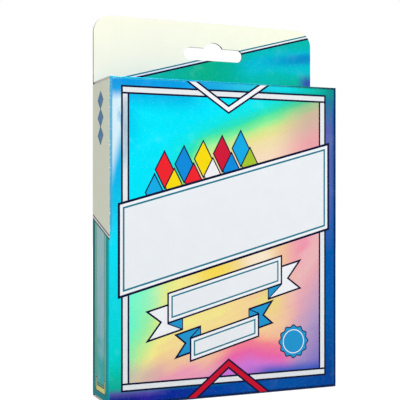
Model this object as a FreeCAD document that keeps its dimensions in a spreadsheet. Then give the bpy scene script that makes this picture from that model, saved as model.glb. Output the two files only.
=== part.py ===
import FreeCAD, Part

import math
import os
import re

import Sketcher
from FreeCAD import Placement, Rotation, Vector

# Card game in a tuck carton with a hang tab, in millimetres.
# Origin under the middle of the carton, front towards -Y, +Z up.
# The carton is one blank of board: each panel between two creases is a piece of its own.

# Driving sizes: name, value, what it is. Slants are in degrees.
# The carton takes its outside from the cards, the room round them and the board.
SIZES = [
    ("card_width", 87.0, "bridge-size card, long side"),
    ("card_height", 56.0, "bridge-size card, short side"),
    ("card_thickness", 0.3, "one card"),
    ("card_air", 0.01, "air between two cards"),
    ("card_corner", 3.0, "corner radius of a card"),
    ("cards_per_set", 13, "cards of one colour"),
    ("sets_per_stack", 4, "colours in one stack"),
    ("side_room", 3.55, "cards to the side panels"),
    ("headroom", 5.7, "cards to the upper dust flaps"),
    ("tongue_room", 0.92, "cards to the tips of the tongues"),
    ("leaflet_side_room", 5.05, "leaflet to the side panels"),
    ("leaflet_headroom", 10.7, "leaflet to the lid"),
    ("leaflet_paper", 0.12, "sheet of the leaflet"),
    ("leaflet_air", 0.14, "air between two leaves"),
    ("leaflet_leaves", 4, "leaves of the folded sheet"),
    ("leaflet_gap", 0.15, "leaflet to the front panel and to the cards"),
    ("board", 0.45, "thickness of the paperboard"),
    ("crease_radius", 0.8, "outer radius of the upright creases"),
    ("crease_gap", 0.05, "gap along a crease that swings"),
    ("tab_height", 26.0, "hang tab above the lid"),
    ("tab_inset", 0.25, "tab edge inside the carton's side"),
    ("tab_corner", 6.8, "corner radius of the tab"),
    ("ply_foot", 17.0, "depth to which the tab's second ply is glued inside"),
    ("ply_inset", 2.6, "second ply clear of the sides, inside the carton"),
    ("slot_width", 25.8, "hanging slot, end to end"),
    ("slot_height", 5.0, "height of the hanging slot"),
    ("slot_lift", 13.5, "slot centre line above the lid"),
    ("slot_shift", 2.7, "slot centre to the right of the middle"),
    ("bump_radius", 4.8, "round in the middle of the slot's upper edge"),
    ("glue_width", 11.0, "width of the glue flap"),
    ("glue_gap", 2.0, "glue flap's root below the tab's second ply"),
    ("glue_taper", 15.0, "slant of the glue flap's ends"),
    ("lid_side_gap", 0.3, "lid inside the carton's sides"),
    ("lid_rear_gap", 0.25, "lid's rear crease to the tab"),
    ("lid_bevel", 0.6, "bevel under the lid's rear edge, where the tongue folds in"),
    ("tongue_length", 10.0, "tuck tongue, crease to tip"),
    ("tongue_corner", 7.0, "corner radius of the tongue"),
    ("tongue_side_gap", 2.4, "tongue inside the carton's outer side"),
    ("tongue_slant", 7.0, "lean of the tucked tongue towards the cards"),
    ("flap_gap", 0.05, "lid to the dust flap under it"),
    ("flap_front_gap", 0.5, "dust flap's root from the lid's crease line"),
    ("flap_rear_gap", 1.4, "dust flap to the tongue"),
    ("flap_end", 9.0, "width of the dust flap's end, before its corners are rounded"),
    ("flap_slope", 34.0, "slant of the dust flap's front edge"),
    ("flap_corner", 1.5, "radius of the dust flap's front corner"),
    ("flap_rear_corner", 5.0, "radius of the dust flap's rear corner"),
]

# The carton's outside, and places that several pieces share, in named sizes.
CARD_PITCH = "(card_thickness + card_air)"
CARD_DEPTH = "(sets_per_stack*cards_per_set*%s - card_air)" % CARD_PITCH
LEAF_PITCH = "(leaflet_paper + leaflet_air)"
LEAFLET_DEPTH = "(leaflet_leaves*%s - leaflet_air)" % LEAF_PITCH
TONGUE_LEAN = "(tongue_length*sin(tongue_slant) + board/2*cos(tongue_slant))"
REAR_DEPTH = "(5*board/2 + lid_rear_gap)"
WIDTH = "(card_width + 2*side_room + 2*board)"
DEPTH = "(board + 2*leaflet_gap + %s + %s + tongue_room + %s + %s)" % (
    LEAFLET_DEPTH, CARD_DEPTH, TONGUE_LEAN, REAR_DEPTH)
CARD_FLOOR = "(2*board + flap_gap)"
HEIGHT = "(2*%s + 2*card_height + headroom)" % CARD_FLOOR
LEAFLET_Y = "(-%s/2 + board + leaflet_gap)" % DEPTH
CARDS_Y = "(%s + %s + leaflet_gap)" % (LEAFLET_Y, LEAFLET_DEPTH)
LID_Y = "(-%s/2 + board/2)" % DEPTH
LID_Z = "(%s - board/2)" % HEIGHT
TONGUE_Y = "(%s/2 - %s)" % (DEPTH, REAR_DEPTH)
FLAP_X = "(%s/2 - board/2)" % WIDTH
FLAP_Z = "(%s - 3*board/2 - flap_gap)" % HEIGHT
SIDE_END = "(2*board + flap_gap + crease_gap)"

doc = FreeCAD.newDocument("card_game")
sheet = doc.addObject("Spreadsheet::Sheet", "sizes")
for row, (name, value, note) in enumerate(SIZES, start=1):
    sheet.set("A%d" % row, name)
    sheet.set("B%d" % row, str(value))
    sheet.set("C%d" % row, note)
    sheet.setAlias("B%d" % row, name)
doc.recompute()

SIZE_NAMES = re.compile(r"\b(%s)\b" % "|".join(name for name, value, note in SIZES))


def bound(text):
    """Write an expression in size names as one that reads the sheet."""
    return SIZE_NAMES.sub(r"sizes.\1", text)


def number(text):
    """Work an expression in size names out as a number."""
    return float(sheet.evalExpression(text))


def new_body(label):
    body = doc.addObject("PartDesign::Body", label)
    body.Label = label
    return body


def new_sketch(body, plane, offset="0"):
    """A sketch on one of the body's own planes, moved along the plane's normal."""
    sketch = body.newObject("Sketcher::SketchObject", body.Label + "_sketch")
    planes = [feature for feature in body.Origin.OriginFeatures if feature.Role == plane]
    sketch.AttachmentSupport = [(planes[0], "")]
    sketch.MapMode = "FlatFace"
    sketch.setExpression("AttachmentOffset.Base.z", bound(offset))
    return sketch


def pin(sketch, edge, end, u, v):
    """Hold one end of an edge at the place that two expressions give."""
    for kind, text in (("DistanceX", u), ("DistanceY", v)):
        index = sketch.addConstraint(Sketcher.Constraint(kind, -1, 1, edge, end, number(text)))
        sketch.setExpression("Constraints[%d]" % index, bound(text))


def outline(sketch, corners, closed=True):
    """Draw an outline. Each corner is (u, v), reached by a line, or (u, v, radius, turn), reached by
    an arc that turns left or right. The first corner's own edge closes the outline."""
    points = [Vector(number(corner[0]), number(corner[1]), 0) for corner in corners]
    first = 0 if closed else 1
    ends = []
    for index in range(first, len(corners)):
        start, stop = points[index - 1], points[index]
        if len(corners[index]) == 2:
            edge = sketch.addGeometry(Part.LineSegment(start, stop))
            ends.append((edge, 1, 2))
            continue
        radius, turn = number(corners[index][2]), corners[index][3]
        half = (stop - start) * 0.5
        side = Vector(-half.y, half.x, 0) if turn == "left" else Vector(half.y, -half.x, 0)
        side.normalize()
        centre = start + half + side * math.sqrt(max(radius ** 2 - half.Length ** 2, 0))
        low, high = (start, stop) if turn == "left" else (stop, start)
        angles = [math.atan2(point.y - centre.y, point.x - centre.x) for point in (low, high)]
        if angles[1] < angles[0]:
            angles[1] += 2 * math.pi
        circle = Part.Circle(centre, Vector(0, 0, 1), radius)
        edge = sketch.addGeometry(Part.ArcOfCircle(circle, angles[0], angles[1]))
        index_radius = sketch.addConstraint(Sketcher.Constraint("Radius", edge, radius))
        sketch.setExpression("Constraints[%d]" % index_radius, bound(corners[index][2]))
        ends.append((edge, 1, 2) if turn == "left" else (edge, 2, 1))
    for place, (edge, begin, finish) in enumerate(ends):
        u, v = corners[first + place][:2]
        pin(sketch, edge, finish, u, v)
        follower = ends[(place + 1) % len(ends)]
        if closed or place + 1 < len(ends):
            sketch.addConstraint(Sketcher.Constraint("Coincident", edge, finish, follower[0], follower[1]))
    if not closed:
        pin(sketch, ends[0][0], ends[0][1], *corners[0][:2])


def ring(sketch, radius):
    """A circle round the sketch's origin."""
    circle = Part.Circle(Vector(0, 0, 0), Vector(0, 0, 1), number(radius))
    edge = sketch.addGeometry(circle)
    sketch.addConstraint(Sketcher.Constraint("Coincident", edge, 3, -1, 1))
    index = sketch.addConstraint(Sketcher.Constraint("Radius", edge, number(radius)))
    sketch.setExpression("Constraints[%d]" % index, bound(radius))


def pad(body, sketch, length, side="One side", reverse=False):
    feature = body.newObject("PartDesign::Pad", body.Label + "_pad")
    feature.Profile = sketch
    feature.SideType = side
    feature.Reversed = reverse
    feature.setExpression("Length", bound(length))
    sketch.Visibility = False
    return feature


def place(body, x, y, z, end="top"):
    """Put a body built round its own crease into the carton. The bottom closure is the top one
    turned half round about the front-to-back line through the carton's middle."""
    if end == "bottom":
        x, z = "-(%s)" % x, "%s - %s" % (HEIGHT, z)
        body.Placement = Placement(Vector(), Rotation(Vector(0, 1, 0), 180))
    for axis, text in (("x", x), ("y", y), ("z", z)):
        body.setExpression("Placement.Base." + axis, bound(text))


# Upright panels: quarters of a rounded ring of board, meeting at mitres in the creases.

BEND = "(crease_radius*sqrt(0.5))"
INNER_BEND = "((crease_radius - board)*sqrt(0.5))"
FLAT_X = "(%s/2 - crease_radius)" % WIDTH
FLAT_Y = "(%s/2 - crease_radius)" % DEPTH


def wall(label, along, across, turned, low, height):
    """An upright panel from mitre to mitre. along is half its flat, across the flat to the middle,
    and turned maps the pair (along the panel, outward) to sketch places."""
    body = new_body(label)
    outward, inward = "crease_radius", "(crease_radius - board)"
    sketch = new_sketch(body, "XY_Plane", low)
    outline(sketch, [
        turned("-" + along, across + " + crease_radius") + (outward, "right"),
        turned(along, across + " + crease_radius"),
        turned(along + " + " + BEND, across + " + " + BEND) + (outward, "right"),
        turned(along + " + " + INNER_BEND, across + " + " + INNER_BEND),
        turned(along, across + " + crease_radius - board") + (inward, "left"),
        turned("-" + along, across + " + crease_radius - board"),
        turned("-" + along + " - " + INNER_BEND, across + " + " + INNER_BEND) + (inward, "left"),
        turned("-" + along + " - " + BEND, across + " + " + BEND),
    ])
    pad(body, sketch, height)
    return body


def facing_front(along, outward):
    return "-(%s)" % along, "-(%s)" % outward


def facing_back(along, outward):
    return along, outward


def facing_left(along, outward):
    return "-(%s)" % outward, along


def facing_right(along, outward):
    return outward, "-(%s)" % along


SIDE_HEIGHT = HEIGHT + " - 2*" + SIDE_END
front_panel = wall("front_panel", FLAT_X, FLAT_Y, facing_front,
                   "board + crease_gap", HEIGHT + " - 2*(board + crease_gap)")
left_side_panel = wall("left_side_panel", FLAT_Y, FLAT_X, facing_left, SIDE_END, SIDE_HEIGHT)
right_side_panel = wall("right_side_panel", FLAT_Y, FLAT_X, facing_right, SIDE_END, SIDE_HEIGHT)
back_panel = wall("back_panel", FLAT_X, FLAT_Y, facing_back, "0", HEIGHT)

# Hang tab: the back panel runs on above the lid, and a second ply folded forward over the tab's top
# doubles it and is glued down inside the carton, behind the tongue. The slot goes through both.

TAB_X = "(%s/2 - tab_inset)" % WIDTH
TAB_TOP = "(%s + tab_height)" % HEIGHT
SLOT_Z = "(%s + slot_lift)" % HEIGHT
SLOT_R = "(slot_height/2)"
BUMP_X = "sqrt(bump_radius^2 - slot_height^2/4)"


def hanging_slot(sketch):
    reach = "(slot_width/2 - slot_height/2)"
    outline(sketch, [
        ("slot_shift - " + reach, SLOT_Z + " - " + SLOT_R, SLOT_R, "left"),
        ("slot_shift + " + reach, SLOT_Z + " - " + SLOT_R),
        ("slot_shift + slot_width/2", SLOT_Z, SLOT_R, "left"),
        ("slot_shift + " + reach, SLOT_Z + " + " + SLOT_R, SLOT_R, "left"),
        ("slot_shift + " + BUMP_X, SLOT_Z + " + " + SLOT_R),
        ("slot_shift", SLOT_Z + " + bump_radius", "bump_radius", "left"),
        ("slot_shift - " + BUMP_X, SLOT_Z + " + " + SLOT_R, "bump_radius", "left"),
        ("slot_shift - " + reach, SLOT_Z + " + " + SLOT_R),
        ("slot_shift - slot_width/2", SLOT_Z, SLOT_R, "left"),
    ])


tab_sketch = new_sketch(back_panel, "XZ_Plane", "-%s/2" % DEPTH)
outline(tab_sketch, [
    ("-" + TAB_X, HEIGHT),
    (TAB_X, HEIGHT),
    (TAB_X, TAB_TOP + " - tab_corner"),
    (TAB_X + " - tab_corner", TAB_TOP, "tab_corner", "left"),
    ("-" + TAB_X + " + tab_corner", TAB_TOP),
    ("-" + TAB_X, TAB_TOP + " - tab_corner", "tab_corner", "left"),
])
hanging_slot(tab_sketch)
pad(back_panel, tab_sketch, "board")

hang_tab_ply = new_body("hang_tab_ply")
ply_sketch = new_sketch(hang_tab_ply, "XZ_Plane", "-%s/2 + board" % DEPTH)
PLY_X = "(%s/2 - ply_inset)" % WIDTH
outline(ply_sketch, [
    ("-" + PLY_X, HEIGHT + " - ply_foot"),
    (PLY_X, HEIGHT + " - ply_foot"),
    (PLY_X, HEIGHT),
    (TAB_X, HEIGHT),
    (TAB_X, TAB_TOP + " - tab_corner"),
    (TAB_X + " - tab_corner", TAB_TOP, "tab_corner", "left"),
    ("-" + TAB_X + " + tab_corner", TAB_TOP),
    ("-" + TAB_X, TAB_TOP + " - tab_corner", "tab_corner", "left"),
    ("-" + TAB_X, HEIGHT),
    ("-" + PLY_X, HEIGHT),
])
hanging_slot(ply_sketch)
pad(hang_tab_ply, ply_sketch, "board")

# Glue flap: folded from the right side panel, glued flat inside the back panel.

glue_flap = new_body("glue_flap")
glue_sketch = new_sketch(glue_flap, "XZ_Plane", "-%s/2 + board" % DEPTH)
GLUE_END = "(ply_foot + glue_gap)"
GLUE_DROP = "glue_width*tan(glue_taper)"
outline(glue_sketch, [
    (FLAT_X, GLUE_END),
    (FLAT_X, "%s - %s" % (HEIGHT, GLUE_END)),
    (FLAT_X + " - glue_width", "%s - %s - %s" % (HEIGHT, GLUE_END, GLUE_DROP)),
    (FLAT_X + " - glue_width", "%s + %s" % (GLUE_END, GLUE_DROP)),
])
pad(glue_flap, glue_sketch, "board")

# Closures: lid, tuck tongue and two dust flaps, above and below. Each is built round its own crease,
# which is a bead of board that turns in place.


def lid(label, end):
    """Lid strip seen from the side: round bead at the front crease, bevelled under the rear one."""
    body = new_body(label)
    reach = "(%s - %s - board/2 - crease_gap)" % (TONGUE_Y, LID_Y)
    sketch = new_sketch(body, "YZ_Plane")
    outline(sketch, [
        ("0", "board/2", "board/2", "right"),
        (reach, "board/2"),
        (reach + " - lid_bevel", "-board/2"),
        ("0", "-board/2"),
        ("-board/2", "0", "board/2", "right"),
    ])
    pad(body, sketch, WIDTH + " - 2*lid_side_gap", side="Symmetric")
    place(body, "0", LID_Y, LID_Z, end)


def tongue(label, end):
    """Tuck tongue: round-cornered plate hung from a bead, leaning in towards the cards."""
    body = new_body(label)
    half_width = "(%s/2 - tongue_side_gap)" % WIDTH
    sketch = new_sketch(body, "XZ_Plane")
    sketch.AttachmentOffset = Placement(Vector(), Rotation(Vector(1, 0, 0), -number("tongue_slant")))
    sketch.setExpression("AttachmentOffset.Rotation.Angle", bound("-tongue_slant"))
    outline(sketch, [
        (half_width, "0"),
        ("-" + half_width, "0"),
        ("-" + half_width, "tongue_corner - tongue_length"),
        ("-" + half_width + " + tongue_corner", "-tongue_length", "tongue_corner", "left"),
        (half_width + " - tongue_corner", "-tongue_length"),
        (half_width, "tongue_corner - tongue_length", "tongue_corner", "left"),
    ])
    pad(body, sketch, "board", side="Symmetric")
    bead = new_sketch(body, "YZ_Plane")
    ring(bead, "board/2")
    pad(body, bead, "2*" + half_width, side="Symmetric")
    place(body, "0", TONGUE_Y, LID_Z, end)


def dust_flap(label, side, end):
    """Dust flap: its front edge slants back so that it swings up under the opening lid."""
    body = new_body(label)
    if end == "bottom":
        side = -side
    turn = "right" if side > 0 else "left"
    sign = "-" if side > 0 else ""
    root_front = LID_Y + " + flap_front_gap"
    root_rear = TONGUE_Y + " - board/2 - flap_rear_gap"
    tip_front = root_rear + " - flap_end"
    length = "((%s - (%s))/tan(flap_slope))" % (tip_front, root_front)
    trim = "flap_corner*tan(45 - flap_slope/2)"
    sketch = new_sketch(body, "XY_Plane")
    outline(sketch, [
        ("0", root_front),
        (sign + "(%s - %s*cos(flap_slope))" % (length, trim), tip_front + " - %s*sin(flap_slope)" % trim),
        (sign + length, tip_front + " + " + trim, "flap_corner", turn),
        (sign + length, root_rear + " - flap_rear_corner"),
        (sign + "(%s - flap_rear_corner)" % length, root_rear, "flap_rear_corner", turn),
        ("0", root_rear),
    ])
    pad(body, sketch, "board", side="Symmetric")
    bead = new_sketch(body, "XZ_Plane", "-(%s)" % root_front)
    ring(bead, "board/2")
    pad(body, bead, "%s - (%s)" % (root_rear, root_front), reverse=True)
    place(body, FLAP_X if side > 0 else "-" + FLAP_X, "0", FLAP_Z, end)


for closure_end in ("top", "bottom"):
    lid(closure_end + "_lid", closure_end)
    tongue(closure_end + "_tongue", closure_end)
    dust_flap(closure_end + "_left_dust_flap", -1, closure_end)
    dust_flap(closure_end + "_right_dust_flap", 1, closure_end)

# Cards: two stacks, one above the other on the bottom dust flaps, each of four colours.
# A card's corner is a few short straights instead of an arc, because there are so many cards.

CORNER_FACETS = 4
QUARTERS = [(1, 1), (-1, 1), (-1, -1), (1, -1)]


def card_set(label, sets_ahead, stacks_below):
    body = new_body(label)
    body.AllowCompound = True
    front = "(%s + %d*cards_per_set*%s)" % (CARDS_Y, sets_ahead, CARD_PITCH)
    middle = "%s + %d*card_height + card_height/2" % (CARD_FLOOR, stacks_below)
    corners = []
    for quarter, (right, up) in enumerate(QUARTERS):
        for step in range(CORNER_FACETS + 1):
            angle = 90 * (quarter + step / CORNER_FACETS)
            u = "%d*(card_width/2 - card_corner) + card_corner*cos(%g)" % (right, angle)
            v = "%s + %d*(card_height/2 - card_corner) + card_corner*sin(%g)" % (middle, up, angle)
            corners.append((u, v))
    sketch = new_sketch(body, "XZ_Plane", "-" + front)
    outline(sketch, corners)
    card = pad(body, sketch, "card_thickness", reverse=True)
    doc.recompute()
    pattern = body.newObject("PartDesign::LinearPattern", label + "_pattern")
    pattern.Originals = [card]
    pattern.Direction = (sketch, ["N_Axis"])
    pattern.Reversed = True
    pattern.Mode = "Spacing"
    pattern.setExpression("Offset", bound(CARD_PITCH))
    pattern.setExpression("Occurrences", bound("cards_per_set"))
    body.Tip = pattern


STACKS = [("sky", "red", "blue", "yellow"), ("crimson", "white", "green", "orange")]
for stack, colours in enumerate(STACKS):
    for ahead, colour in enumerate(colours):
        card_set("card_set_" + colour, ahead, stack)

# Rules leaflet: one sheet folded to and fro, standing on the bottom lid before the cards.

rules_leaflet = new_body("rules_leaflet")
leaf_path = new_sketch(rules_leaflet, "XY_Plane", "board")
LEAFLET_HEIGHT = "(%s - 2*board - leaflet_headroom)" % HEIGHT
half_leaf = "(%s/2 - board - leaflet_side_room - %s/2 - leaflet_paper/2)" % (WIDTH, LEAF_PITCH)
leaf_y = LEAFLET_Y + " + leaflet_paper/2"
route = [("-" + half_leaf, leaf_y)]
for leaf in range(int(number("leaflet_leaves"))):
    right_hand = leaf % 2 == 0
    level = "%s + %d*%s" % (leaf_y, leaf, LEAF_PITCH)
    far = half_leaf if right_hand else "-" + half_leaf
    route.append((far, level))
    if leaf + 1 < number("leaflet_leaves"):
        bulge = far + (" + " if right_hand else " - ") + LEAF_PITCH + "/2"
        fold_turn = "left" if right_hand else "right"
        route.append((bulge, level + " + %s/2" % LEAF_PITCH, LEAF_PITCH + "/2", fold_turn))
        route.append((far, level + " + " + LEAF_PITCH, LEAF_PITCH + "/2", fold_turn))
outline(leaf_path, route, closed=False)
leaf_profile = new_sketch(rules_leaflet, "YZ_Plane", "-" + half_leaf)
outline(leaf_profile, [
    (LEAFLET_Y, "board"),
    (LEAFLET_Y + " + leaflet_paper", "board"),
    (LEAFLET_Y + " + leaflet_paper", "board + " + LEAFLET_HEIGHT),
    (LEAFLET_Y, "board + " + LEAFLET_HEIGHT),
])
doc.recompute()
sheet_fold = rules_leaflet.newObject("PartDesign::AdditivePipe", "rules_leaflet_fold")
sheet_fold.Profile = leaf_profile
sheet_fold.Spine = (leaf_path, [])

# Build, test and export every piece.

doc.recompute()
for item in doc.Objects:
    if {"Invalid", "Error"} & set(item.State):
        raise RuntimeError("not built: " + item.Label)
os.makedirs("parts", exist_ok=True)
for item in doc.Objects:
    if item.TypeId != "PartDesign::Body":
        continue
    if item.Shape.isNull() or not item.Shape.isValid():
        raise RuntimeError("no valid solid: " + item.Label)
    item.Shape.exportStep("parts/%s.step" % item.Label)
    print("%-24s solids %3d  volume %9.2f" % (item.Label, len(item.Shape.Solids), item.Shape.Volume))
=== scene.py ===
import math

import bmesh
import bpy
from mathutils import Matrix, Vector


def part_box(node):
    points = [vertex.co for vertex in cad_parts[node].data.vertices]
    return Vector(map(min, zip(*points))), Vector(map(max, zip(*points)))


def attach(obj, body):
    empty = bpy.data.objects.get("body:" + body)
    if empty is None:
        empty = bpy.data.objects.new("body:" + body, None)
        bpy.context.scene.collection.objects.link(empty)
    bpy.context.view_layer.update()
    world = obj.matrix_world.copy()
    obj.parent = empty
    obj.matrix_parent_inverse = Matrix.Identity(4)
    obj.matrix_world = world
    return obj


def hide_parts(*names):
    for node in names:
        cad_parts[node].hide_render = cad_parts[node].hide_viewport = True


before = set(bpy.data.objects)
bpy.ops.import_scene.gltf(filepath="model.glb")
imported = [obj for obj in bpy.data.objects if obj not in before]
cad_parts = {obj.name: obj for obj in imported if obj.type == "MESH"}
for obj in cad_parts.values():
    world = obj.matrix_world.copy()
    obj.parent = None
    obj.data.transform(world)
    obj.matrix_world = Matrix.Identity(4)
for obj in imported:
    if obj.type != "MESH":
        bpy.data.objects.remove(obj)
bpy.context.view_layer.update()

# Front panel: the carton's printed face, folding board with holographic foil laminated on its outside.
# It is creased to the two side panels and carries the inks of the next sections. The board lies a hair
# below the CAD face, so that those inks end flush with it.
MM = 0.001
BOARD = 0.45 * MM
INK_ROOM = 0.06 * MM
CREASE_RADIUS = 0.55 * MM
CREASE_STEPS = 6
MITRE = 45
SHARP_EDGE = math.radians(30)
FOIL_RIM = (0.5, 0.5, 0.5, 1.0)
RIGHT = Vector((1, 0, 0))
FORWARD = Vector((0, -1, 0))
UP = Vector((0, 0, 1))


def colour(red, green, blue):
    """A printed colour, given as it looks, in the linear values that shaders take."""
    shares = [value / 255 for value in (red, green, blue)]
    linear = [share / 12.92 if share <= 0.04045 else ((share + 0.055) / 1.055) ** 2.4 for share in shares]
    return (*linear, 1.0)


def wire(tree, value, socket):
    """Feed a socket with another node's output, or with a plain value."""
    if isinstance(value, bpy.types.NodeSocket):
        tree.links.new(value, socket)
    else:
        socket.default_value = value


def calc(tree, operation, *values):
    node = tree.nodes.new("ShaderNodeMath")
    node.operation = operation
    for value, socket in zip(values, node.inputs):
        wire(tree, value, socket)
    return node.outputs[0]


def both(tree, first, second):
    """The share that is left where two shares meet."""
    return calc(tree, "MULTIPLY", first, second)


def ease(tree, value, start, end, low=0.0, high=1.0, curve="SMOOTHSTEP"):
    """Smooth step from low to high while value goes from start to end."""
    node = tree.nodes.new("ShaderNodeMapRange")
    node.interpolation_type = curve
    for part, socket in zip((value, start, end, low, high), node.inputs):
        wire(tree, part, socket)
    return node.outputs[0]


def slope(tree, value, start, end, low=0.0, high=1.0):
    """Straight rise from low to high while value goes from start to end."""
    return ease(tree, value, start, end, low, high, "LINEAR")


def grain(tree, place, size, detail):
    """Cloudy noise whose patches are about size metres across."""
    node = tree.nodes.new("ShaderNodeTexNoise")
    wire(tree, place, node.inputs["Vector"])
    node.inputs["Scale"].default_value = 1 / size
    node.inputs["Detail"].default_value = detail
    return node.outputs["Fac"]


def mix_colours(tree, share, first, second):
    node = tree.nodes.new("ShaderNodeMix")
    node.data_type = "RGBA"
    wire(tree, share, node.inputs["Factor"])
    wire(tree, first, node.inputs[6])
    wire(tree, second, node.inputs[7])
    return node.outputs[2]


def colour_run(tree, share, *stops):
    """Run of colours: each stop is a share from 0 to 1 and a colour."""
    node = tree.nodes.new("ShaderNodeValToRGB")
    run = node.color_ramp.elements
    for position, tone in stops[1:-1]:
        run.new(position).color = tone
    for element, (position, tone) in zip((run[0], run[-1]), (stops[0], stops[-1])):
        element.position = position
        element.color = tone
    wire(tree, share, node.inputs["Fac"])
    return node.outputs["Color"]


def new_finish(name):
    """A material with one shader, and the place on the piece at rest that its patterns follow."""
    finish = bpy.data.materials.new(name)
    finish.use_nodes = True
    tree = finish.node_tree
    place = tree.nodes.new("ShaderNodeTexCoord").outputs["Object"]
    axes = tree.nodes.new("ShaderNodeSeparateXYZ")
    tree.links.new(place, axes.inputs[0])
    return finish, tree, tree.nodes["Principled BSDF"], place, axes.outputs


def relief(tree, shader, height, depth, strength):
    node = tree.nodes.new("ShaderNodeBump")
    node.inputs["Distance"].default_value = depth
    node.inputs["Strength"].default_value = strength
    wire(tree, height, node.inputs["Height"])
    wire(tree, node.outputs["Normal"], shader.inputs["Normal"])


def stretched(tree, place, *lengths, lean=0.0):
    """The place for a pattern drawn out along each axis by these lengths, the first leaning upwards."""
    node = tree.nodes.new("ShaderNodeMapping")
    node.vector_type = "TEXTURE"
    wire(tree, place, node.inputs["Vector"])
    node.inputs["Scale"].default_value = lengths
    node.inputs["Rotation"].default_value = (0.0, -lean, 0.0)
    return node.outputs["Vector"]


def foil(name, paint, cracks_and_highlight=None, rim=FOIL_RIM):
    """Holographic foil: paint gives the drift of its colours, cracks_and_highlight how far it is whitened
    by cracked foil and by a painted highlight, and rim the tint that it takes when seen along the board."""
    finish, tree, shader, place, axes = new_finish(name)
    haze = grain(tree, place, 7 * MM, 4)
    sparkle = grain(tree, place, 0.5 * MM, 2)
    shine = paint(tree, place, *axes)
    shine = mix_colours(tree, ease(tree, haze, 0.55, 0.8, 0.0, 0.04), shine, colour(232, 246, 250))
    shine = mix_colours(tree, ease(tree, sparkle, 0.48, 0.25, 0.0, 0.04), shine, colour(20, 60, 110))
    shine = mix_colours(tree, ease(tree, sparkle, 0.56, 0.75, 0.0, 0.03), shine, colour(250, 252, 255))
    emboss = grain(tree, place, 0.4 * MM, 3)
    if cracks_and_highlight:
        # White specks where the foil is cracked, which also stand for a painted highlight on the creases.
        specks = ease(tree, grain(tree, place, 0.5 * MM, 5), 0.56, 0.64)
        worn = both(tree, specks, cracks_and_highlight(tree, *axes))
        shine = mix_colours(tree, worn, shine, colour(228, 238, 246))
        emboss = calc(tree, "ADD", emboss, worn)
    wire(tree, shine, shader.inputs["Base Color"])
    shader.inputs["Metallic"].default_value = 0.96
    shader.inputs["Specular Tint"].default_value = rim
    wire(tree, calc(tree, "MULTIPLY_ADD", haze, 0.2, 0.18), shader.inputs["Roughness"])
    relief(tree, shader, emboss, 0.004 * MM, 0.35)
    return finish


def from_crease(tree, y, z, height, near, far):
    """1 within near of the front's crease at that height and 0 beyond far, on the panel and on the lid."""
    down = calc(tree, "ABSOLUTE", calc(tree, "SUBTRACT", z, height))
    back = calc(tree, "ABSOLUTE", calc(tree, "ADD", y, FRONT))
    return ease(tree, calc(tree, "MAXIMUM", down, back), near, far, 1.0, 0.0)


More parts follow.
